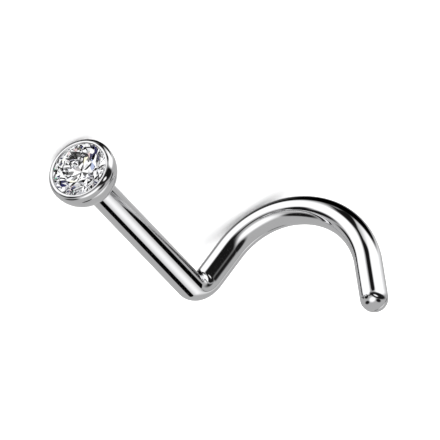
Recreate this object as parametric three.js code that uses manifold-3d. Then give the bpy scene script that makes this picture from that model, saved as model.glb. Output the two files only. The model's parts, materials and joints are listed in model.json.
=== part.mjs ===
import * as THREE from "three";
import { ConvexGeometry } from "three/addons/geometries/ConvexGeometry.js";
import { LoftGeometry } from "three/addons/geometries/LoftGeometry.js";
import { mergeVertices } from "three/addons/utils/BufferGeometryUtils.js";
import Module from "manifold-3d";

// Nose stud: a ball setting with a round brilliant, on a wire bent into a curl.
// Lengths are in millimetres and angles in degrees.

// Wire
const wireDiameter = 0.81;
const postLength = 7.59; // from the ball's centre to the plane of the curl
const bendRadius = 0.55; // the wire's centre line, where the post turns into the curl
const curlHeading = 102; // direction in which the curl leaves the post
const firstStraight = 0.98;
const innerArcRadius = 2.26;
const innerArcAngle = 56;
const outerArcRadius = 2.61;
const outerArcAngle = 74.5;
const lastStraight = 1.19; // up to the centre of the round tip
const solderFillet = 0.09; // where the post meets the ball

// Ball setting
const ballDiameter = 1.98;
const rimHeight = 0.187; // of the rim above the ball's centre
const lipOpening = 1.64;
const rimLand = 0.012; // flat ring between the opening and the rim's rounded edge
const postCover = 0.1; // metal between the seat and the wire's end

// Stone
const stoneDiameter = 1.7;
const tableWidth = 0.96; // from corner to corner
const crownAngle = 34.5;
const pavilionAngle = 40.75;
const girdleThickness = 0.04;
const girdleDrop = 0.09; // of the girdle's upper edge below the rim
const starLength = 0.5; // share of the way from the table to the girdle
const lowerHalfLength = 0.77; // share of the way from the girdle to the culet
const stoneTurn = 11;
const stoneClearance = 0.02;

// Density in grams per cubic centimetre
const metalDensity = 7.9;
const stoneDensity = 5.8;

// The stud settles on the table from this turn about the post and this tilt along it
const settlingRoll = -12.5;
const settlingPitch = -1.9;
const firstSettlingStep = 0.01;

// Fineness of the faceted surfaces
const wireSides = 24;
const ballSides = 48;
const arcStep = 7;
const mains = 8;

const wasm = await Module();
wasm.setup();

const radians = THREE.MathUtils.degToRad;
const wireRadius = wireDiameter / 2;
const ballRadius = ballDiameter / 2;
const girdleRadius = stoneDiameter / 2;
const girdleTop = rimHeight - girdleDrop;
const girdleBottom = girdleTop - girdleThickness;
const crownSlope = Math.tan(radians(crownAngle));
const pavilionSlope = Math.tan(radians(pavilionAngle));
const seatBottom = girdleBottom - girdleRadius * pavilionSlope
  - stoneClearance / Math.cos(radians(pavilionAngle));

// Radius of the corners of a polygon whose flats lie on the true circle.
function cornerRadius(radius, sides) {
  return radius / Math.cos(Math.PI / sides);
}

// Points on an arc, both ends included, with at most arcStep degrees between them.
function arcPoints(centre, radius, from, to) {
  const steps = Math.max(1, Math.ceil(Math.abs(to - from) / arcStep));
  const points = [];
  for (let i = 0; i <= steps; i++) {
    const angle = radians(from + ((to - from) * i) / steps);
    points.push(new THREE.Vector2(
      centre.x + radius * Math.cos(angle),
      centre.y + radius * Math.sin(angle),
    ));
  }
  return points;
}

// A closed geometry as a solid that can be joined or cut.
function solidOf(geometry) {
  const bare = new THREE.BufferGeometry();
  bare.setAttribute("position", geometry.getAttribute("position"));
  bare.setIndex(geometry.getIndex());
  const merged = mergeVertices(bare, 1e-5);
  const corners = [];
  for (let i = 0; i < merged.index.count; i += 3) {
    const face = [0, 1, 2].map((k) => merged.index.getX(i + k));
    if (new Set(face).size === 3) {
      corners.push(...face);
    }
  }
  return new wasm.Manifold(new wasm.Mesh({
    numProp: 3,
    vertProperties: merged.attributes.position.array,
    triVerts: new Uint32Array(corners),
  }));
}

function geometryOf(solid) {
  const mesh = solid.getMesh();
  const geometry = new THREE.BufferGeometry();
  geometry.setAttribute("position", new THREE.BufferAttribute(mesh.vertProperties, 3));
  geometry.setIndex(new THREE.BufferAttribute(mesh.triVerts, 1));
  geometry.computeVertexNormals();
  return geometry;
}

// The wire's centre line, as a walk with a position and a heading. The post runs down the
// Z axis from the ball to the bend, and the curl lies in the plane z = 0.
class Walk {
  constructor(position, heading) {
    this.position = position.clone();
    this.heading = heading.clone();
    this.stations = [];
    this.mark();
  }

  mark() {
    this.stations.push({ position: this.position.clone(), heading: this.heading.clone() });
  }

  straight(length) {
    this.position.addScaledVector(this.heading, length);
    this.mark();
  }

  arc(radius, angle, axis) {
    const steps = Math.ceil(angle / arcStep);
    const turn = radians(angle / steps);
    const inward = new THREE.Vector3().crossVectors(axis, this.heading);
    const centre = this.position.clone().addScaledVector(inward, radius);
    for (let i = 0; i < steps; i++) {
      this.position.sub(centre).applyAxisAngle(axis, turn).add(centre);
      this.heading.applyAxisAngle(axis, turn);
      this.mark();
    }
  }
}

function wireStations() {
  const up = new THREE.Vector3(0, 0, 1);
  const down = new THREE.Vector3(0, 0, -1);
  const away = new THREE.Vector3(
    Math.cos(radians(curlHeading)),
    Math.sin(radians(curlHeading)),
    0,
  );
  const topOfWire = postLength + seatBottom - postCover;
  const walk = new Walk(new THREE.Vector3(0, 0, topOfWire), down);
  walk.straight(topOfWire - bendRadius);
  walk.arc(bendRadius, 90, new THREE.Vector3().crossVectors(down, away));
  walk.straight(firstStraight);
  walk.arc(innerArcRadius, innerArcAngle, up.clone().negate());
  walk.arc(outerArcRadius, outerArcAngle, up.clone().negate());
  walk.straight(lastStraight);
  return walk.stations;
}

// Round sections along the stations, each turned as little as possible from the last.
function wireRings(stations) {
  const rings = [];
  const side = new THREE.Vector3(1, 0, 0);
  let last = stations[0].heading;
  for (const { position, heading, radius } of stations) {
    const turn = new THREE.Quaternion().setFromUnitVectors(last, heading);
    side.applyQuaternion(turn);
    last = heading;
    const across = new THREE.Vector3().crossVectors(heading, side);
    const ring = [];
    for (let i = 0; i < wireSides; i++) {
      const angle = (2 * Math.PI * i) / wireSides;
      ring.push(position.clone()
        .addScaledVector(side, radius * Math.cos(angle))
        .addScaledVector(across, radius * Math.sin(angle)));
    }
    rings.push(ring);
  }
  return rings;
}

// The wire with its solder fillet under the ball and its hemispherical tip.
function wireSolid() {
  const full = cornerRadius(wireRadius, wireSides);
  const stations = wireStations().map((station) => ({ ...station, radius: full }));

  const reach = wireRadius + solderFillet;
  const filletFoot = postLength - Math.sqrt((ballRadius + solderFillet) ** 2 - reach ** 2);
  const down = stations[0].heading;
  const flare = arcPoints(new THREE.Vector2(0, 0), solderFillet, 45, 0).map((point) => ({
    position: new THREE.Vector3(0, 0, filletFoot + point.y),
    heading: down,
    radius: full + solderFillet - point.x,
  }));
  stations[0].radius = flare[0].radius;
  stations.splice(1, 0, ...flare);

  const end = stations[stations.length - 1];
  for (const point of arcPoints(new THREE.Vector2(0, 0), full, arcStep, 90 - arcStep / 2)) {
    stations.push({
      position: end.position.clone().addScaledVector(end.heading, point.y),
      heading: end.heading,
      radius: point.x,
    });
  }
  return solidOf(new LoftGeometry(wireRings(stations), { capStart: true, capEnd: true }));
}

// The ball, cut off at the rim and hollowed to the stone's shape, around the Z axis.
function settingSolid() {
  const seatRadius = girdleRadius + stoneClearance;
  const lipRadius = lipOpening / 2;
  const landRadius = lipRadius + rimLand;
  // The rim's rounding is tangent to its flat land and to the ball.
  const rimFillet = (ballRadius ** 2 - rimHeight ** 2 - landRadius ** 2)
    / (2 * (ballRadius - rimHeight));
  const filletCentre = new THREE.Vector2(landRadius, rimHeight - rimFillet);
  const tangentAngle = THREE.MathUtils.radToDeg(filletCentre.angle());
  const crownGap = stoneClearance / Math.cos(radians(crownAngle));
  const underCrown = (radius) => girdleTop + (girdleRadius - radius) * crownSlope + crownGap;

  const profile = [
    ...arcPoints(new THREE.Vector2(0, 0), ballRadius, -90, tangentAngle),
    ...arcPoints(filletCentre, rimFillet, tangentAngle, 90).slice(1),
    new THREE.Vector2(lipRadius, rimHeight),
    new THREE.Vector2(lipRadius, underCrown(lipRadius)),
    new THREE.Vector2(seatRadius, underCrown(seatRadius)),
    new THREE.Vector2(seatRadius, seatBottom + seatRadius * pavilionSlope),
    new THREE.Vector2(0, seatBottom),
  ];
  profile[0].x = 0;
  const scale = cornerRadius(1, ballSides);
  const outline = profile.map((point) => new THREE.Vector2(point.x * scale, point.y));
  const ball = new THREE.LatheGeometry(outline, ballSides);
  ball.rotateX(Math.PI / 2);
  ball.translate(0, 0, postLength);
  return solidOf(ball);
}

// A round brilliant: table, stars, mains and halves over the girdle, halves and mains under it.
function stoneGeometry() {
  const corners = [];
  const put = (radius, angle, height) => corners.push(new THREE.Vector3(
    radius * Math.cos(radians(angle)),
    radius * Math.sin(radians(angle)),
    height,
  ));
  const pitch = 360 / mains;
  const between = Math.cos(radians(pitch / 2));
  const tableRadius = tableWidth / 2;
  const tableFlat = tableRadius * between;
  const starRadius = tableFlat + (girdleRadius - tableFlat) * starLength;
  const halfRadius = girdleRadius * (1 - lowerHalfLength);
  for (let i = 0; i < mains; i++) {
    const angle = stoneTurn + i * pitch;
    put(tableRadius, angle, girdleTop + (girdleRadius - tableRadius) * crownSlope);
    put(starRadius, angle + pitch / 2, girdleTop + (girdleRadius - starRadius * between) * crownSlope);
    for (const height of [girdleTop, girdleBottom]) {
      put(girdleRadius, angle, height);
      put(girdleRadius, angle + pitch / 2, height);
    }
    const halfDepth = (girdleRadius - halfRadius * between) * pavilionSlope;
    put(halfRadius, angle + pitch / 2, girdleBottom - halfDepth);
  }
  put(0, 0, girdleBottom - girdleRadius * pavilionSlope);
  const stone = new ConvexGeometry(corners);
  stone.translate(0, 0, postLength);
  return stone;
}

// Volume and centre of a closed geometry, from the cones that its faces make with the origin.
function volumeAndCentre(geometry) {
  const faces = geometry.index ? geometry.toNonIndexed() : geometry;
  const position = faces.getAttribute("position");
  const [a, b, c] = [0, 1, 2].map(() => new THREE.Vector3());
  const centre = new THREE.Vector3();
  let volume = 0;
  for (let i = 0; i < position.count; i += 3) {
    a.fromBufferAttribute(position, i);
    b.fromBufferAttribute(position, i + 1);
    c.fromBufferAttribute(position, i + 2);
    const cone = a.dot(new THREE.Vector3().crossVectors(b, c)) / 6;
    volume += cone;
    centre.addScaledVector(a.add(b).add(c), cone / 4);
  }
  return { volume, centre: centre.divideScalar(volume) };
}

// The upward direction, in the stud's own frame, with which it lies on a table: from `start`,
// the stud rolls until its centre of mass can get no lower.
function restingUp(geometry, centre, start) {
  const position = geometry.getAttribute("position");
  const corner = new THREE.Vector3();
  const standing = (up) => {
    let lowest = Infinity;
    for (let i = 0; i < position.count; i++) {
      lowest = Math.min(lowest, corner.fromBufferAttribute(position, i).dot(up));
    }
    return centre.dot(up) - lowest;
  };
  const directions = 12;
  let up = start.clone();
  let height = standing(up);
  for (let step = firstSettlingStep; step > 1e-6;) {
    const side = new THREE.Vector3(0, 0, 1).cross(up).normalize();
    const rise = new THREE.Vector3().crossVectors(up, side);
    let lower = null;
    for (let i = 0; i < directions; i++) {
      const angle = (2 * Math.PI * i) / directions;
      const next = up.clone()
        .addScaledVector(side, step * Math.cos(angle))
        .addScaledVector(rise, step * Math.sin(angle))
        .normalize();
      const nextHeight = standing(next);
      if (nextHeight < height) {
        height = nextHeight;
        lower = next;
      }
    }
    if (lower) {
      up = lower;
    } else {
      step /= 2;
    }
  }
  return up;
}

// The settled stud: +Z up, the head towards -Y, the box's bottom centre at the origin.
function layDown(group, metal, stone) {
  const parts = [
    { ...volumeAndCentre(metal), density: metalDensity },
    { ...volumeAndCentre(stone), density: stoneDensity },
  ];
  const centre = new THREE.Vector3();
  let mass = 0;
  for (const part of parts) {
    centre.addScaledVector(part.centre, part.volume * part.density);
    mass += part.volume * part.density;
  }
  centre.divideScalar(mass);
  const start = new THREE.Vector3(
    Math.cos(radians(settlingRoll)),
    Math.sin(radians(settlingRoll)),
    Math.sin(radians(settlingPitch)),
  ).normalize();
  const up = restingUp(metal, centre, start);
  const post = new THREE.Vector3(0, 0, 1);
  const right = new THREE.Vector3().crossVectors(up, post).normalize();
  const back = new THREE.Vector3().crossVectors(up, right);
  group.quaternion.setFromRotationMatrix(new THREE.Matrix4().makeBasis(right, back, up).transpose());
  group.updateMatrixWorld(true);
  const box = new THREE.Box3().setFromObject(group, true);
  const middle = box.getCenter(new THREE.Vector3());
  group.position.set(-middle.x, -middle.y, -box.min.z);
}

const metalGeometry = geometryOf(settingSolid().add(wireSolid()));
const metal = new THREE.Mesh(metalGeometry, new THREE.MeshStandardMaterial({
  color: 0xd8d9db,
  metalness: 1,
  roughness: 0.08,
}));
metal.name = "setting_and_wire";

const stone = new THREE.Mesh(stoneGeometry(), new THREE.MeshStandardMaterial({
  color: 0xf2f5fa,
  metalness: 0,
  roughness: 0.02,
}));
stone.name = "stone";

const stud = new THREE.Group();
stud.add(metal, stone);
layDown(stud, metal.geometry, stone.geometry);

const noseStud = new THREE.Group();
noseStud.add(stud);

export default noseStud;
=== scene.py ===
import json
import math

import bmesh
import bpy
from bpy.props import FloatProperty, FloatVectorProperty, IntProperty, PointerProperty
from mathutils import Matrix, Vector


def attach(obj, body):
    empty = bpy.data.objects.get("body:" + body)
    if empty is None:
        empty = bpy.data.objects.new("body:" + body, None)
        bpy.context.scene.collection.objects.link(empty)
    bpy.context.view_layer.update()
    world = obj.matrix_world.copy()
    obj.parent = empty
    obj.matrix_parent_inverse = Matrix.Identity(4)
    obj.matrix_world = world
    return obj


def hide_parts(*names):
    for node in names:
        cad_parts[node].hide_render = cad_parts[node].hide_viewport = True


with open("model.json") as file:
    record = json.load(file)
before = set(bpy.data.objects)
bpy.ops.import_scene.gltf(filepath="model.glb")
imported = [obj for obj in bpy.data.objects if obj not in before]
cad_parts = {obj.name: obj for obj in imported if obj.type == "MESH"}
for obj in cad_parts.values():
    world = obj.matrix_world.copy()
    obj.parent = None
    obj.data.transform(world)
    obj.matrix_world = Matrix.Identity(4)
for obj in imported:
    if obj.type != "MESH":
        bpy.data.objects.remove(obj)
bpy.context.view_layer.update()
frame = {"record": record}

bl_info = {
    "name": "Nose stud",
    "version": (1, 0, 0),
    "blender": (4, 5, 0),
    "location": "View3D > Sidebar > Stud",
    "description": "Builds a nose stud's polished wire, ball setting, cut stone and studio",
    "category": "Object",
}

TABLE_MOUNT = next(m for m in frame["record"]["mounts"] if m["name"] == "stone_table")
MM = 0.001

# Fineness of the metal's section: degrees from point to point on each arc, points on the seat's
# cone, where the lip's slope has points as shares of its width, and the longest ring of faces in
# millimetres on the post, the bend, the first straight, both arcs and the last straight
LIP_EDGE_STEP = 22.5
RIM_STEP = 5.0
BALL_STEP = 3.0
FILLET_STEP = 12.0
TIP_STEP = 6.0
SEAT_STEPS = 8
LIP_SHARES = (0.6, 0.35, 0.12)
RING_LENGTHS = (0.16, 0.03, 0.08, 0.08, 0.08, 0.08)

# The wire's path in millimetres: where it starts, before the ball's centre, its stride, and how
# close points are welded. Edges sharper than the crisp angle stay crisp.
PATH_START = -2.0
PATH_STEP = 0.01
WELD = 0.0002
CRISP_ANGLE = 32.0

MAIN_FACETS = 8


def length(name, metres, description):
    return FloatProperty(
        name=name, description=description, default=metres, min=0.0, subtype="DISTANCE",
        unit="LENGTH", precision=6)


def angle(name, degrees, description):
    return FloatProperty(
        name=name, description=description, default=math.radians(degrees), subtype="ANGLE",
        unit="ROTATION")


def colour(name, default, description):
    return FloatVectorProperty(
        name=name, description=description, default=default, size=len(default), min=0.0, max=1.0,
        subtype="COLOR")


class StudWire(bpy.types.PropertyGroup):
    """The wire's thickness and path, and how it lies"""
    diameter: length("Wire diameter", 0.8045 * MM, "Thickness of the round wire")
    post: length("Post length", 7.59 * MM, "From the ball's centre to the plane of the curl")
    bend_radius: length("Bend radius", 0.55 * MM, "Of the wire's centre line, post to curl")
    heading: angle("Curl heading", 102.0, "Direction in which the curl leaves the post")
    first_straight: length("First straight", 0.98 * MM, "Straight part after the bend")
    inner_radius: length("Inner arc radius", 2.26 * MM, "Radius of the curl's first arc")
    inner_angle: angle("Inner arc angle", 56.0, "How far the curl's first arc turns")
    outer_radius: length("Outer arc radius", 2.61 * MM, "Radius of the curl's second arc")
    outer_angle: angle("Outer arc angle", 74.5, "How far the curl's second arc turns")
    last_straight: length("Last straight", 1.19 * MM, "Up to the centre of the round tip")
    fillet: length("Solder fillet", 0.09 * MM, "Radius between the ball and the post")
    roll: angle("Resting roll", 12.4907, "How far the stud rolls about its post as it lies")
    sides: IntProperty(name="Sides", description="Faces round the wire", default=96, min=24, max=256)


class StudSetting(bpy.types.PropertyGroup):
    """The ball setting"""
    diameter: length("Ball diameter", 1.978 * MM, "Diameter of the ball")
    rim_height: length("Rim height", 0.187 * MM, "Of the rim above the ball's centre")
    opening: length("Opening", 1.605 * MM, "Diameter inside the rim's lip")
    lip_width: length("Lip width", 0.026 * MM, "Of the ring that is pressed down over the stone")
    lip_slope: angle("Lip slope", 20.0, "How far that ring falls towards the stone")
    lip_edge: length("Lip edge", 0.006 * MM, "Radius of the lip's inner edge")
    clearance: length("Clearance", 0.02 * MM, "Gap between the stone and its seat")


class StudStone(bpy.types.PropertyGroup):
    """The round brilliant"""
    diameter: length("Stone diameter", 1.7 * MM, "Across the girdle")
    table: length("Table width", 0.96 * MM, "Of the flat top, from corner to corner")
    crown_angle: angle("Crown angle", 34.5, "Slope of the main facets above the girdle")
    pavilion_angle: angle("Pavilion angle", 40.75, "Slope of the main facets below the girdle")
    girdle: length("Girdle thickness", 0.04 * MM, "Height of the stone's edge")
    girdle_drop: length("Girdle drop", 0.09 * MM, "Of the girdle's upper edge below the rim")
    star: FloatProperty(
        name="Star length", description="Share of the way from the table to the girdle",
        default=0.5, min=0.3, max=0.7)
    lower_half: FloatProperty(
        name="Lower half length", description="Share of the way from the girdle to the point",
        default=0.77, min=0.5, max=0.95)
    turn: angle("Turn", 11.0, "Of the stone in its setting")
    sides: IntProperty(
        name="Girdle sides", description="Edges round the girdle", default=96, min=32, max=256)
    glass: colour("Stone colour", (0.985, 0.988, 0.995), "Tint of the clear stone")
    refraction: FloatProperty(
        name="Refraction", description="Refractive index of the stone", default=2.42, min=1.3,
        max=2.8)
    surface: colour("Surface tint", (0.12, 0.12, 0.12), "Of what the outer facets mirror")


class StudMetal(bpy.types.PropertyGroup):
    """The polished metal"""
    steel: colour("Metal colour", (0.80, 0.80, 0.81), "Colour of the polished steel")
    roughness: FloatProperty(
        name="Polish", description="Roughness of the mirror polish", default=0.035, min=0.0,
        max=1.0)


class StudStage(bpy.types.PropertyGroup):
    """Floor, light and camera"""
    tilt: angle("Tilt", 38.0, "Between the camera's axis and the post")
    post_slope: angle("Post slope", 46.2704, "Of the post in the picture, below the horizontal")
    aim_along: length("Aim along the post", 3.6264 * MM, "From the ball to the picture's middle")
    aim_across: length("Aim across the post", 1.8516 * MM, "From the ball to the picture's middle")
    distance: length("Camera distance", 0.04, "From the stud")
    width: length("Frame width", 440 / 35.9 * MM, "Of what the square picture shows")
    floor_size: length("Floor size", 0.3, "Diameter of the round floor")
    floor: colour("Floor colour", (0.92, 0.92, 0.92), "Colour of the pale floor")


GROUPS = {
    "stud_wire": StudWire,
    "stud_setting": StudSetting,
    "stud_stone": StudStone,
    "stud_metal": StudMetal,
    "stud_stage": StudStage,
}


class Graph:
    """Adds nodes to a tree and joins them up."""

    def __init__(self, tree):
        self.tree = tree

    def feed(self, socket, value):
        if isinstance(value, bpy.types.NodeSocket):
            self.tree.links.new(value, socket)
        else:
            socket.default_value = value

    def add(self, kind, inputs=None, **settings):
        node = self.tree.nodes.new(kind)
        for name, value in settings.items():
            setattr(node, name, value)
        sockets = {socket.identifier: socket for socket in node.inputs}
        for name, value in (inputs or {}).items():
            self.feed(sockets[name], value)
        return node

    def math(self, operation, *values):
        node = self.add("ShaderNodeMath", operation=operation)
        for socket, value in zip(node.inputs, values):
            self.feed(socket, value)
        return node.outputs[0]

    def product(self, a, b):
        return self.math("MULTIPLY", a, b)

    def vector(self, operation, *values, scale=None):
        node = self.add("ShaderNodeVectorMath", operation=operation)
        for socket, value in zip(node.inputs, values):
            self.feed(socket, value)
        if scale is not None:
            self.feed(node.inputs["Scale"], scale)
        return node.outputs["Value" if operation in {"DOT_PRODUCT", "LENGTH"} else "Vector"]

    def join(self, x, y, z):
        return self.add("ShaderNodeCombineXYZ", {"X": x, "Y": y, "Z": z}).outputs[0]

    def split(self, vector):
        return tuple(self.add("ShaderNodeSeparateXYZ", {"Vector": vector}).outputs)

    def ramp(self, value, from_min, from_max, to_min, to_max, shape="LINEAR"):
        return self.add("ShaderNodeMapRange", {
            "Value": value, "From Min": from_min, "From Max": from_max, "To Min": to_min,
            "To Max": to_max}, interpolation_type=shape, clamp=True).outputs["Result"]

    def mix(self, share, a, b):
        return self.add("ShaderNodeMix", {
            "Factor_Float": share, "A_Float": a, "B_Float": b}, data_type="FLOAT").outputs[0]


def stud_matrix(stone):
    """From the stud's own frame in millimetres, with the ball's centre at the origin and the
    head along +Z, to the place in which it lies, in metres."""
    post = Vector(TABLE_MOUNT["axis"]).normalized()
    table_height = crown_height(stone, stone.table / 2)
    centre = Vector(TABLE_MOUNT["pos_m"]) - post * table_height
    roll = bpy.context.scene.stud_wire.roll
    up = (Vector((0, 0, 1)) - post * post.z).normalized()
    width = up * math.cos(roll) + post.cross(up) * math.sin(roll)
    turn = Matrix((width, post.cross(width), post)).transposed()
    return Matrix.Translation(centre) @ turn.to_4x4() @ Matrix.Scale(MM, 4)


def girdle_top(stone):
    return bpy.context.scene.stud_setting.rim_height - stone.girdle_drop


def crown_height(stone, radius):
    return girdle_top(stone) + (stone.diameter / 2 - radius) * math.tan(stone.crown_angle)


def arc(centre, radius, start, end, step):
    """Points on an arc, both ends included. Angles are in degrees."""
    count = max(1, math.ceil(abs(end - start) / step))
    turns = [math.radians(start + (end - start) * i / count) for i in range(count + 1)]
    return [(centre[0] + radius * math.cos(t), centre[1] + radius * math.sin(t)) for t in turns]


def metal_profile(wire, setting, stone):
    """Half section of the metal, as (height above the ball's centre, radius) in millimetres. It
    starts in the seat's point, goes round the rim and along the wire, and ends in the tip."""
    ball = setting.diameter / MM / 2
    rim = setting.rim_height / MM
    edge = setting.lip_edge / MM
    lip = setting.opening / MM / 2
    crest = lip + setting.lip_width / MM
    fall = math.tan(setting.lip_slope)
    rounding = (ball ** 2 - rim ** 2 - crest ** 2) / (2 * (ball - rim))
    girdle = stone.diameter / MM / 2
    gap = setting.clearance / MM
    top = girdle_top(stone) / MM
    bottom = top - stone.girdle / MM
    crown = math.tan(stone.crown_angle)
    pavilion = math.tan(stone.pavilion_angle)
    seat = girdle + gap
    under_crown = gap / math.cos(stone.crown_angle)
    point = bottom - girdle * pavilion - gap / math.cos(stone.pavilion_angle)

    rows = [(0.0, point)]
    rows += [(seat * i / SEAT_STEPS, point + seat * pavilion * i / SEAT_STEPS)
             for i in range(1, SEAT_STEPS + 1)]
    rows += [(seat, top + (girdle - seat) * crown + under_crown)]
    rows += [(lip, top + (girdle - lip) * crown + under_crown)]
    inner = rim - (crest - lip) * fall
    flat = 90 + math.degrees(setting.lip_slope)
    rows += arc((lip + edge, inner - edge), edge, 180, flat, LIP_EDGE_STEP)
    rows += [(crest - (crest - lip) * share, rim - (crest - lip) * share * fall)
             for share in LIP_SHARES]

    meet = math.degrees(math.atan2(rim - rounding, crest))
    rows += arc((crest, rim - rounding), rounding, 90, meet, RIM_STEP)
    fillet = wire.fillet / MM
    radius = wire.diameter / MM / 2
    reach = radius + fillet
    foot = -math.sqrt((ball + fillet) ** 2 - reach ** 2)
    under = math.degrees(math.atan2(foot, reach))
    rows += arc((0, 0), ball, meet, under, BALL_STEP)[1:]
    rows += arc((reach, foot), fillet, 180 + under, 180, FILLET_STEP)[1:]

    bend = wire.bend_radius / MM
    marks = [-foot]
    for part in (
            wire.post / MM - bend + foot, bend * math.pi / 2, wire.first_straight / MM,
            wire.inner_radius / MM * wire.inner_angle, wire.outer_radius / MM * wire.outer_angle,
            wire.last_straight / MM):
        marks.append(marks[-1] + part)
    for start, end, step in zip(marks, marks[1:], RING_LENGTHS):
        count = math.ceil((end - start) / step)
        rows += [(radius, -start - (end - start) * i / count) for i in range(1, count + 1)]
    tip = arc((0, 0), radius, 0, 90, TIP_STEP)[1:]
    rows += [(x, -marks[-1] - y) for x, y in tip[:-1]] + [(0.0, -marks[-1] - radius)]
    return rows


def bent_wire_tree():
    """Sweeps a half section round and along a wire that runs straight, bends and curls. Lengths
    inside are in millimetres, and the path starts straight down from the ball's centre."""
    tree = bpy.data.node_groups.new("bent_wire", "GeometryNodeTree")
    graph = Graph(tree)
    sockets = [
        ("Section", "NodeSocketGeometry"), ("Post", "NodeSocketFloat"),
        ("Bend radius", "NodeSocketFloat"), ("Heading", "NodeSocketFloat"),
        ("First straight", "NodeSocketFloat"), ("Inner radius", "NodeSocketFloat"),
        ("Inner angle", "NodeSocketFloat"), ("Outer radius", "NodeSocketFloat"),
        ("Outer angle", "NodeSocketFloat"), ("Last straight", "NodeSocketFloat"),
        ("Sides", "NodeSocketInt"), ("Path start", "NodeSocketFloat"),
        ("Path step", "NodeSocketFloat"), ("Place", "NodeSocketVector"),
        ("Turn", "NodeSocketVector"), ("Scale", "NodeSocketFloat"),
        ("Metal", "NodeSocketMaterial")]
    for name, kind in sockets:
        tree.interface.new_socket(name, in_out="INPUT", socket_type=kind)
    tree.interface.new_socket("Wire", in_out="OUTPUT", socket_type="NodeSocketGeometry")
    given = graph.add("NodeGroupInput").outputs

    post_end = graph.math("SUBTRACT", given["Post"], given["Bend radius"])
    quarter = math.pi / 2
    bend_end = graph.math("MULTIPLY_ADD", given["Bend radius"], quarter, post_end)
    inner_start = graph.math("ADD", bend_end, given["First straight"])
    inner_end = graph.math("MULTIPLY_ADD", given["Inner radius"], given["Inner angle"], inner_start)
    outer_end = graph.math("MULTIPLY_ADD", given["Outer radius"], given["Outer angle"], inner_end)
    wire_end = graph.math("ADD", outer_end, given["Last straight"])

    def directions(run):
        """Along the wire and across it, where it has run this far."""
        fall = graph.ramp(run, post_end, bend_end, 0.0, quarter)
        inner = graph.ramp(run, inner_start, inner_end, 0.0, given["Inner angle"])
        outer = graph.ramp(run, inner_end, outer_end, 0.0, given["Outer angle"])
        turned = graph.math("SUBTRACT", graph.math("SUBTRACT", given["Heading"], inner), outer)
        out, flat = graph.math("SINE", fall), graph.math("COSINE", fall)
        x, y = graph.math("COSINE", turned), graph.math("SINE", turned)
        down, back = graph.product(flat, -1.0), graph.product(y, -1.0)
        along = graph.join(graph.product(out, x), graph.product(out, y), down)
        rise = graph.join(graph.product(flat, x), graph.product(flat, y), out)
        side = graph.join(back, x, 0.0)
        return along, rise, side

    index = graph.add("GeometryNodeInputIndex").outputs[0]
    position = graph.add("GeometryNodeInputPosition").outputs[0]
    step = given["Path step"]
    start = given["Path start"]
    reach = graph.math("SUBTRACT", graph.math("ADD", wire_end, 1.0), start)
    count = graph.math("CEIL", graph.math("DIVIDE", reach, step))
    line = graph.add("GeometryNodeMeshLine", {"Count": count})
    middle = graph.math("MULTIPLY_ADD", graph.math("ADD", index, 0.5), step, start)
    stride = graph.vector("SCALE", directions(middle)[0], scale=step)
    walked = graph.add("GeometryNodeAccumulateField", {"Value": stride}, data_type="FLOAT_VECTOR")
    origin = graph.join(0.0, 0.0, graph.product(start, -1.0))
    place = graph.vector("ADD", walked.outputs["Trailing"], origin)
    path = graph.add("GeometryNodeSetPosition", {
        "Geometry": line.outputs[0], "Position": place}).outputs[0]

    rings = graph.add("GeometryNodeAttributeDomainSize", {"Geometry": given["Section"]})
    around = graph.math("ADD", given["Sides"], 1.0)
    grid = graph.add("GeometryNodeMeshGrid", {
        "Vertices X": rings.outputs["Point Count"], "Vertices Y": around})
    ring = graph.math("FLOOR", graph.math("DIVIDE", graph.math("ADD", index, 0.5), around))
    column = graph.math("SUBTRACT", index, graph.product(ring, around))
    section = graph.add("GeometryNodeSampleIndex", {
        "Geometry": given["Section"], "Value": position, "Index": ring}, data_type="FLOAT_VECTOR")
    run, radius, _ = graph.split(section.outputs[0])
    steps = graph.math("DIVIDE", graph.math("SUBTRACT", run, start), step)
    whole = graph.math("FLOOR", steps)
    nearby = [graph.add("GeometryNodeSampleIndex", {
        "Geometry": path, "Value": position, "Index": at}, data_type="FLOAT_VECTOR").outputs[0]
        for at in (whole, graph.math("ADD", whole, 1.0))]
    centre = graph.add("ShaderNodeMix", {
        "Factor_Float": graph.math("SUBTRACT", steps, whole), "A_Vector": nearby[0],
        "B_Vector": nearby[1]}, data_type="VECTOR").outputs[1]
    _, rise, side = directions(run)
    share_round = graph.math("DIVIDE", column, given["Sides"])
    angle_round = graph.product(share_round, math.tau)
    spoke = graph.vector(
        "ADD", graph.vector("SCALE", rise, scale=graph.math("COSINE", angle_round)),
        graph.vector("SCALE", side, scale=graph.math("SINE", angle_round)))
    surface = graph.vector("ADD", centre, graph.vector("SCALE", spoke, scale=radius))

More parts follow.
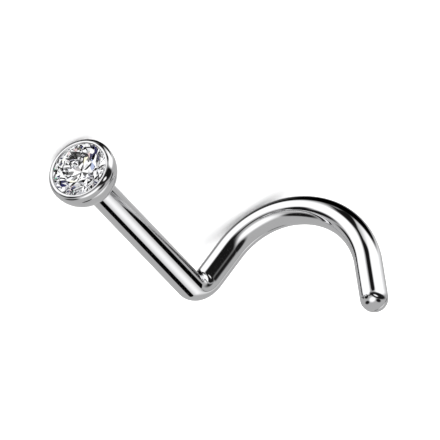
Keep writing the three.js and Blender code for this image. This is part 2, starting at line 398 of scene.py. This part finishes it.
    lengths = graph.add("GeometryNodeFieldOnDomain", {
        "Value": graph.join(run, share_round, 0.0)}, data_type="FLOAT_VECTOR", domain="POINT")
    mapped = graph.add("GeometryNodeStoreNamedAttribute", {
        "Geometry": grid.outputs[0], "Name": "UVMap",
        "Value": next(o for o in lengths.outputs if o.enabled)}, data_type="FLOAT2", domain="CORNER")
    shaped = graph.add("GeometryNodeSetPosition", {
        "Geometry": mapped.outputs[0], "Position": surface})
    closed = graph.add("GeometryNodeMergeByDistance", {
        "Geometry": shaped.outputs[0], "Distance": WELD})
    smooth = graph.add("GeometryNodeSetShadeSmooth", {"Geometry": closed.outputs[0]})
    corner = graph.add("GeometryNodeInputMeshEdgeAngle").outputs[0]
    crisp = graph.add("GeometryNodeStoreNamedAttribute", {
        "Geometry": smooth.outputs[0], "Name": "sharp_edge",
        "Value": graph.math("GREATER_THAN", corner, math.radians(CRISP_ANGLE))},
        data_type="BOOLEAN", domain="EDGE")
    turned = graph.add("FunctionNodeEulerToRotation", {"Euler": given["Turn"]})
    scale = graph.join(given["Scale"], given["Scale"], given["Scale"])
    laid = graph.add("GeometryNodeTransform", {
        "Geometry": crisp.outputs[0], "Translation": given["Place"], "Rotation": turned.outputs[0],
        "Scale": scale})
    real = graph.add("GeometryNodeRealizeInstances", {"Geometry": laid.outputs[0]})
    covered = graph.add("GeometryNodeSetMaterial", {
        "Geometry": real.outputs[0], "Material": given["Metal"]})
    graph.add("NodeGroupOutput", {tree.interface.items_tree["Wire"].identifier: covered.outputs[0]})
    return tree


def settled(mesh_object, name):
    """The evaluated object as a plain mesh object at the origin."""
    depsgraph = bpy.context.evaluated_depsgraph_get()
    mesh = bpy.data.meshes.new_from_object(mesh_object.evaluated_get(depsgraph))
    mesh.name = name
    piece = bpy.data.objects.new(name, mesh)
    bpy.context.scene.collection.objects.link(piece)
    bpy.data.objects.remove(mesh_object)
    return piece


def steel_material(look):
    """Mirror polish, faintly clouded in brightness and haze."""
    material = bpy.data.materials.new("polished_steel")
    material.use_nodes = True
    tree = material.node_tree
    graph = Graph(tree)
    shader = tree.nodes["Principled BSDF"]
    shader.inputs["Metallic"].default_value = 1.0
    place = graph.add("ShaderNodeTexCoord").outputs["Object"]
    cloud = graph.add("ShaderNodeTexNoise", {
        "Vector": place, "Scale": 1400.0, "Detail": 4.0, "Roughness": 0.55})
    shade = graph.ramp(cloud.outputs["Fac"], 0.35, 0.65, 0.985, 1.0)
    tint = graph.vector("SCALE", tuple(look.steel), scale=shade)
    graph.feed(shader.inputs["Base Color"], tint)
    haze = graph.ramp(cloud.outputs["Fac"], 0.3, 0.7, look.roughness * 0.8, look.roughness * 1.25)
    graph.feed(shader.inputs["Roughness"], haze)
    return material


def stone_material(stone):
    """Clear stone of high refraction, with faint clouds."""
    material = bpy.data.materials.new("clear_stone")
    material.use_nodes = True
    tree = material.node_tree
    graph = Graph(tree)
    shader = tree.nodes["Principled BSDF"]
    shader.inputs["Transmission Weight"].default_value = 1.0
    shader.inputs["Roughness"].default_value = 0.0
    shader.inputs["IOR"].default_value = stone.refraction
    shader.inputs["Specular Tint"].default_value = (*stone.surface, 1.0)
    place = graph.add("ShaderNodeTexCoord").outputs["Object"]
    cloud = graph.add("ShaderNodeTexNoise", {"Vector": place, "Scale": 900.0, "Detail": 2.0})
    shade = graph.ramp(cloud.outputs["Fac"], 0.35, 0.65, 0.99, 1.0)
    graph.feed(shader.inputs["Base Color"], graph.vector("SCALE", tuple(stone.glass), scale=shade))
    return material


class STUD_OT_metal(bpy.types.Operator):
    """Make the wire, its curl and the ball setting as one polished piece"""
    bl_idname = "stud.metal"
    bl_label = "Metal"

    def execute(self, context):
        wire, setting = context.scene.stud_wire, context.scene.stud_setting
        stone = context.scene.stud_stone
        section = [(-height, radius, 0.0) for radius, height in metal_profile(wire, setting, stone)]
        mesh = bpy.data.meshes.new("half_section")
        mesh.from_pydata(section, [(i, i + 1) for i in range(len(section) - 1)], [])
        carrier = bpy.data.objects.new("half_section", mesh)
        context.scene.collection.objects.link(carrier)
        material = steel_material(context.scene.stud_metal)
        tree = bent_wire_tree()
        place = stud_matrix(stone)
        values = {
            "Post": wire.post / MM, "Bend radius": wire.bend_radius / MM, "Heading": wire.heading,
            "First straight": wire.first_straight / MM, "Inner radius": wire.inner_radius / MM,
            "Inner angle": wire.inner_angle, "Outer radius": wire.outer_radius / MM,
            "Outer angle": wire.outer_angle, "Last straight": wire.last_straight / MM,
            "Sides": wire.sides, "Path start": PATH_START, "Path step": PATH_STEP,
            "Place": place.to_translation(), "Turn": place.to_euler(), "Scale": MM,
            "Metal": material}
        sweep = carrier.modifiers.new("bent_wire", "NODES")
        sweep.node_group = tree
        for name, value in values.items():
            sweep[tree.interface.items_tree[name].identifier] = value
        piece = settled(carrier, "polished_wire")
        if not piece.data.polygons:
            raise RuntimeError("The wire's sweep came out empty.")
        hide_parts("setting_and_wire")
        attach(piece, "root")
        return {"FINISHED"}


def cut(gem, point, normal):
    """Grinds a flat facet: what lies beyond the plane goes, and the cut is closed."""
    geometry = gem.verts[:] + gem.edges[:] + gem.faces[:]
    made = bmesh.ops.bisect_plane(
        gem, geom=geometry, dist=1e-6, plane_co=point, plane_no=normal, clear_outer=True)
    rim = [e for e in made["geom_cut"] if isinstance(e, bmesh.types.BMEdge) and e.is_boundary]
    if rim:
        bmesh.ops.edgenet_fill(gem, edges=rim)


def brilliant(stone):
    """A round brilliant with table, stars, mains and halves, in millimetres, girdle to girdle
    round, its height counted from the ball's centre."""
    radius = stone.diameter / MM / 2
    top = girdle_top(stone) / MM
    bottom = top - stone.girdle / MM
    table = stone.table / MM / 2
    crown = math.tan(stone.crown_angle)
    pavilion = math.tan(stone.pavilion_angle)
    pitch = math.tau / MAIN_FACETS
    between = math.cos(pitch / 2)
    star = table * between + (radius - table * between) * stone.star
    half = radius * (1 - stone.lower_half)
    table_top = top + (radius - table) * crown

    def place(distance, turn, height):
        return Vector((distance * math.cos(turn), distance * math.sin(turn), height))

    gem = bmesh.new()
    tall = 2 * radius
    bmesh.ops.create_cone(
        gem, cap_ends=True, segments=stone.sides, radius1=radius, radius2=radius, depth=2 * tall)
    cut(gem, Vector((0, 0, table_top)), Vector((0, 0, 1)))
    for i in range(MAIN_FACETS):
        turn = stone.turn + i * pitch
        slope = place(math.sin(stone.crown_angle), turn, math.cos(stone.crown_angle))
        cut(gem, place(radius, turn, top), slope)
        slope = place(math.sin(stone.pavilion_angle), turn, -math.cos(stone.pavilion_angle))
        cut(gem, place(radius, turn, bottom), slope)
    for i in range(MAIN_FACETS):
        turn = stone.turn + i * pitch
        corners = [place(table, turn, table_top), place(table, turn + pitch, table_top)]
        tip = place(star, turn + pitch / 2, top + (radius - star * between) * crown)
        cut(gem, tip, (corners[0] - tip).cross(corners[1] - tip) * -1)
        foot = place(half, turn + pitch / 2, bottom - (radius - half * between) * pavilion)
        for side in (0, 1):
            main = turn + pitch * side
            middle = turn + pitch / 2
            sign = 1 if side else -1
            upper = (place(radius, main, top) - tip).cross(place(radius, middle, top) - tip)
            cut(gem, tip, upper * -sign)
            lower = (place(radius, main, bottom) - foot).cross(place(radius, middle, bottom) - foot)
            cut(gem, foot, lower * sign)
    bmesh.ops.remove_doubles(gem, verts=gem.verts[:], dist=1e-4)
    bmesh.ops.recalc_face_normals(gem, faces=gem.faces[:])
    return gem


class STUD_OT_stone(bpy.types.Operator):
    """Cut the round brilliant"""
    bl_idname = "stud.stone"
    bl_label = "Stone"

    def execute(self, context):
        stone = context.scene.stud_stone
        gem = brilliant(stone)
        if any(not edge.is_manifold for edge in gem.edges):
            raise RuntimeError("The cut stone isn't closed.")
        mesh = bpy.data.meshes.new("cut_stone")
        gem.to_mesh(mesh)
        gem.free()
        mesh.transform(stud_matrix(stone))
        mesh.materials.append(stone_material(stone))
        piece = bpy.data.objects.new("cut_stone", mesh)
        context.scene.collection.objects.link(piece)
        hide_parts("stone")
        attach(piece, "root")
        return {"FINISHED"}


# The studio's white cards and black flags. A "card" is placed as a mirror ball beside the stud
# shows it from the camera's side, across and up as shares of the ball's radius; a "ring" by its
# distance from the ball's middle and its direction in degrees; a "cone" by how far it is off the
# circle that a straight post mirrors, and its direction round the post in degrees. Then come
# both half sizes, the turn in degrees, the softness of the edge and the brightness.
CARDS = [
    ("high_white", "card", 0.40, 0.50, 0.38, 0.23, -20.0, 0.45, 1.35),
    ("left_white", "card", -0.53, 0.43, 0.32, 0.20, 48.0, 0.25, 1.3),
    ("top_flag", "ring", 0.872, 88.0, 0.10, 50.0, 0.0, 0.2, 0.0),
    ("outline_flag", "ring", 0.905, 128.0, 0.03, 18.0, 0.0, 0.4, 0.1),
    ("crest_flag", "card", -0.12, 0.685, 0.20, 0.055, 30.0, 0.25, 0.01),
    ("top_break", "card", -0.15, 0.625, 0.07, 0.13, 18.0, 0.35, 0.01),
    ("break_foot", "card", -0.08, 0.55, 0.15, 0.05, 5.0, 0.3, 0.01),
    ("break_tail", "card", -0.27, 0.23, 0.15, 0.045, 22.0, 0.5, 0.05),
    ("middle_white", "card", -0.12, -0.08, 0.22, 0.17, 30.0, 0.45, 1.3),
    ("upper_flag", "card", 0.25, 0.18, 0.54, 0.20, -20.0, 0.2, 0.01),
    ("left_band", "card", -0.17, 0.29, 0.15, 0.07, -33.0, 0.3, 0.01),
    ("lower_flag", "card", 0.30, -0.16, 0.17, 0.12, -20.0, 0.35, 0.01),
    ("oval", "card", 0.11, 0.19, 0.15, 0.04, -25.0, 0.5, 1.3),
    ("left_flag", "card", -0.55, 0.06, 0.12, 0.10, 0.0, 0.35, 0.01),
    ("crescent_flag", "card", -0.46, 0.15, 0.05, 0.10, 0.0, 0.35, 0.01),
    ("edge_flag", "card", -0.79, 0.12, 0.06, 0.17, 18.0, 0.35, 0.01),
    ("tip_flag", "card", -0.47, -0.30, 0.15, 0.12, 25.0, 0.35, 0.01),
    ("post_strip", "cone", 0.0, 2.3, 0.015, 50.0, 0.0, 0.1, 0.68),
    ("post_core", "cone", 0.0, 1.0, 0.05, 22.0, 0.0, 0.95, 1.2),
    ("post_flag_low", "cone", 0.0, -55.8, 0.03, 17.7, 0.0, 0.15, 0.0),
    ("post_flag_high", "cone", 0.0, 61.4, 0.03, 18.6, 0.0, 0.15, 0.0),
    ("bend_flag", "cone", 0.055, 5.0, 0.022, 38.0, 0.0, 0.4, 0.2),
]
BASE_LIGHT = 0.5
FLOOR_LIGHT = 2.0

# Beams that only the stone gathers: direction in the stud's own frame as turn round the post and
# slope above the curl's plane in degrees, then radius, softness and colour.
BEAMS = [
    ("high_pit", 0.0, 90.0, 11.0, 0.25, (0.0, 0.0, 0.0)),
    ("pit_a", -55.0, 40.0, 11.0, 0.25, (0.0, 0.0, 0.0)),
    ("pit_b", -5.0, 36.0, 11.0, 0.25, (0.01, 0.01, 0.08)),
    ("pit_c", 10.0, 60.0, 8.0, 0.25, (0.0, 0.0, 0.0)),
    ("pit_d", 27.0, 39.0, 10.0, 0.25, (0.01, 0.01, 0.09)),
    ("pit_e", -80.0, 65.0, 7.0, 0.25, (0.0, 0.0, 0.0)),
    ("pit_g", 50.0, 45.0, 7.0, 0.25, (0.0, 0.0, 0.0)),
    ("pit_h", 80.0, 28.0, 12.0, 0.25, (0.0, 0.0, 0.0)),
    ("pit_i", 112.0, 53.0, 9.0, 0.25, (0.0, 0.0, 0.0)),
    ("pit_j", -95.0, 28.0, 14.0, 0.25, (0.0, 0.0, 0.0)),
    ("pit_k", -38.0, 12.0, 13.0, 0.25, (0.0, 0.0, 0.0)),
    ("pit_l", 155.0, 35.0, 18.0, 0.25, (0.03, 0.03, 0.04)),
    ("pit_m", 45.0, 14.0, 12.0, 0.25, (0.03, 0.03, 0.08)),
    ("pit_n", 72.0, 54.0, 7.0, 0.25, (0.0, 0.0, 0.0)),
    ("pit_o", -150.0, 18.0, 14.0, 0.25, (0.0, 0.0, 0.0)),
    ("pale_blue", -38.0, 60.0, 6.0, 0.5, (0.50, 0.57, 0.80)),
    ("green", 131.0, 42.0, 5.0, 0.5, (0.25, 1.1, 0.65)),
    ("yellow", 40.0, 77.0, 5.0, 0.5, (1.2, 1.15, 0.85)),
    ("rose", 37.0, 57.0, 6.0, 0.5, (0.85, 0.66, 0.66)),
]
STONE_LIGHT = 1.2


def studio_world(axes, stud_axes, tilt):
    """Pale all round for the floor and the background; grey with white cards and black flags for
    what the metal and the stone mirror."""
    world = bpy.data.worlds.new("studio")
    world.use_nodes = True
    tree = world.node_tree
    graph = Graph(tree)
    background = tree.nodes["Background"]
    ray = graph.add("ShaderNodeTexCoord").outputs["Generated"]
    across, up, near = [graph.vector("DOT_PRODUCT", ray, tuple(axis)) for axis in axes]
    spread = graph.math("SQRT", graph.math("MAXIMUM", graph.math(
        "MULTIPLY_ADD", near, 2.0, 2.0), 1e-6))
    x, y = graph.math("DIVIDE", across, spread), graph.math("DIVIDE", up, spread)
    flat = graph.join(x, y, 0.0)
    distance = graph.vector("LENGTH", flat)
    direction = graph.math("ARCTAN2", y, x)
    width, side, post = [graph.vector("DOT_PRODUCT", ray, tuple(axis)) for axis in stud_axes]
    places = {
        "card": flat,
        "ring": graph.join(distance, direction, 0.0),
        "cone": graph.join(
            graph.math("ADD", post, math.cos(tilt)), graph.math("ARCTAN2", side, width), 0.0),
    }
    light = BASE_LIGHT
    for name, kind, a, b, half_a, half_b, turn, soft, brightness in CARDS:
        unit = 1.0 if kind == "card" else math.radians(1)
        inputs = {
            "Vector": places[kind],
            "Location": (a, b * unit, 0.0),
            "Rotation": (0.0, 0.0, math.radians(turn)),
            "Scale": (half_a, half_b * unit, 1.0)}
        card = graph.add("ShaderNodeMapping", inputs, vector_type="TEXTURE", name=name)
        edge = graph.vector("LENGTH", card.outputs[0])
        mask = graph.ramp(edge, 1.0 - soft, 1.0 + soft, 1.0, 0.0, "SMOOTHSTEP")
        light = graph.mix(mask, light, brightness)
    gathered = (STONE_LIGHT, STONE_LIGHT, STONE_LIGHT, 1.0)
    for name, turn, slope, radius, soft, shade in BEAMS:
        turn, slope = math.radians(turn), math.radians(slope)
        aim = stud_axes[0] * math.cos(slope) * math.cos(turn)
        aim += stud_axes[1] * math.cos(slope) * math.sin(turn) + stud_axes[2] * math.sin(slope)
        off = graph.math("ARCCOSINE", graph.vector("DOT_PRODUCT", ray, tuple(aim)))
        wide = math.radians(radius)
        mask = graph.ramp(off, wide * (1 - soft), wide * (1 + soft), 1.0, 0.0, "SMOOTHSTEP")
        gathered = graph.add("ShaderNodeMix", {
            "Factor_Float": mask, "A_Color": gathered,
            "B_Color": (*shade, 1.0)}, data_type="RGBA").outputs[2]
    paths = graph.add("ShaderNodeLightPath").outputs
    seen = graph.mix(paths["Is Glossy Ray"], FLOOR_LIGHT, light)
    seen = graph.join(seen, seen, seen)
    colour_seen = graph.add("ShaderNodeMix", {
        "Factor_Float": paths["Is Transmission Ray"], "A_Color": seen, "B_Color": gathered},
        data_type="RGBA").outputs[2]
    graph.feed(background.inputs["Color"], colour_seen)
    background.inputs["Strength"].default_value = 1.0
    bpy.context.scene.world = world


class STUD_OT_stage(bpy.types.Operator):
    """Set up the floor, the studio light and the camera"""
    bl_idname = "stud.stage"
    bl_label = "Stage"

    def execute(self, context):
        stage = context.scene.stud_stage
        place = stud_matrix(context.scene.stud_stone)
        width, side, post = [place.to_3x3().col[i].normalized() for i in range(3)]
        back = width * math.sin(stage.tilt) + post * math.cos(stage.tilt)
        along = width * math.cos(stage.tilt) - post * math.sin(stage.tilt)
        slope = stage.post_slope
        right = along * math.cos(slope) + side * math.sin(slope)
        up = side * math.cos(slope) - along * math.sin(slope)
        middle = place.to_translation() + along * stage.aim_along + side * stage.aim_across
        data = bpy.data.cameras.new("camera")
        data.type = "ORTHO"
        data.ortho_scale = stage.width
        data.clip_start, data.clip_end = 0.0005, 1.0
        camera = bpy.data.objects.new("camera", data)
        turn = Matrix((right, up, back)).transposed().to_4x4()
        camera.matrix_world = Matrix.Translation(middle + back * stage.distance) @ turn
        context.scene.collection.objects.link(camera)
        context.scene.camera = camera

        disc = bmesh.new()
        bmesh.ops.create_circle(disc, cap_ends=True, segments=128, radius=stage.floor_size / 2)
        mesh = bpy.data.meshes.new("floor")
        disc.to_mesh(mesh)
        disc.free()
        floor = bpy.data.objects.new("floor", mesh)
        floor.visible_glossy = False
        floor.visible_transmission = False
        material = bpy.data.materials.new("pale_floor")
        material.use_nodes = True
        shader = material.node_tree.nodes["Principled BSDF"]
        shader.inputs["Base Color"].default_value = (*stage.floor, 1.0)
        shader.inputs["Roughness"].default_value = 0.9
        shader.inputs["Specular IOR Level"].default_value = 0.0
        mesh.materials.append(material)
        context.scene.collection.objects.link(floor)

        studio_world((right, up, back), (width, side, post), stage.tilt)
        context.scene.view_settings.view_transform = "Standard"
        context.scene.cycles.glossy_bounces = 12
        context.scene.cycles.transmission_bounces = 16
        context.scene.cycles.max_bounces = 20
        return {"FINISHED"}


class STUD_PT_panel(bpy.types.Panel):
    """Sizes, colours and the steps that build the stud"""
    bl_idname = "STUD_PT_panel"
    bl_label = "Nose stud"
    bl_space_type = "VIEW_3D"
    bl_region_type = "UI"
    bl_category = "Stud"

    def draw(self, context):
        for name, group in GROUPS.items():
            box = self.layout.box()
            box.label(text=group.__doc__)
            for key in group.__annotations__:
                box.prop(getattr(context.scene, name), key)
        for operator in OPERATORS:
            self.layout.operator(operator.bl_idname)


OPERATORS = (STUD_OT_metal, STUD_OT_stone, STUD_OT_stage)
CLASSES = (*GROUPS.values(), *OPERATORS, STUD_PT_panel)


def register():
    for kind in CLASSES:
        bpy.utils.register_class(kind)
    for name, group in GROUPS.items():
        setattr(bpy.types.Scene, name, PointerProperty(type=group))


def unregister():
    for name in GROUPS:
        delattr(bpy.types.Scene, name)
    for kind in reversed(CLASSES):
        bpy.utils.unregister_class(kind)


def main():
    register()
    bpy.ops.stud.metal()
    bpy.ops.stud.stone()
    bpy.ops.stud.stage()
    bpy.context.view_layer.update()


if __name__ == "__main__":
    main()
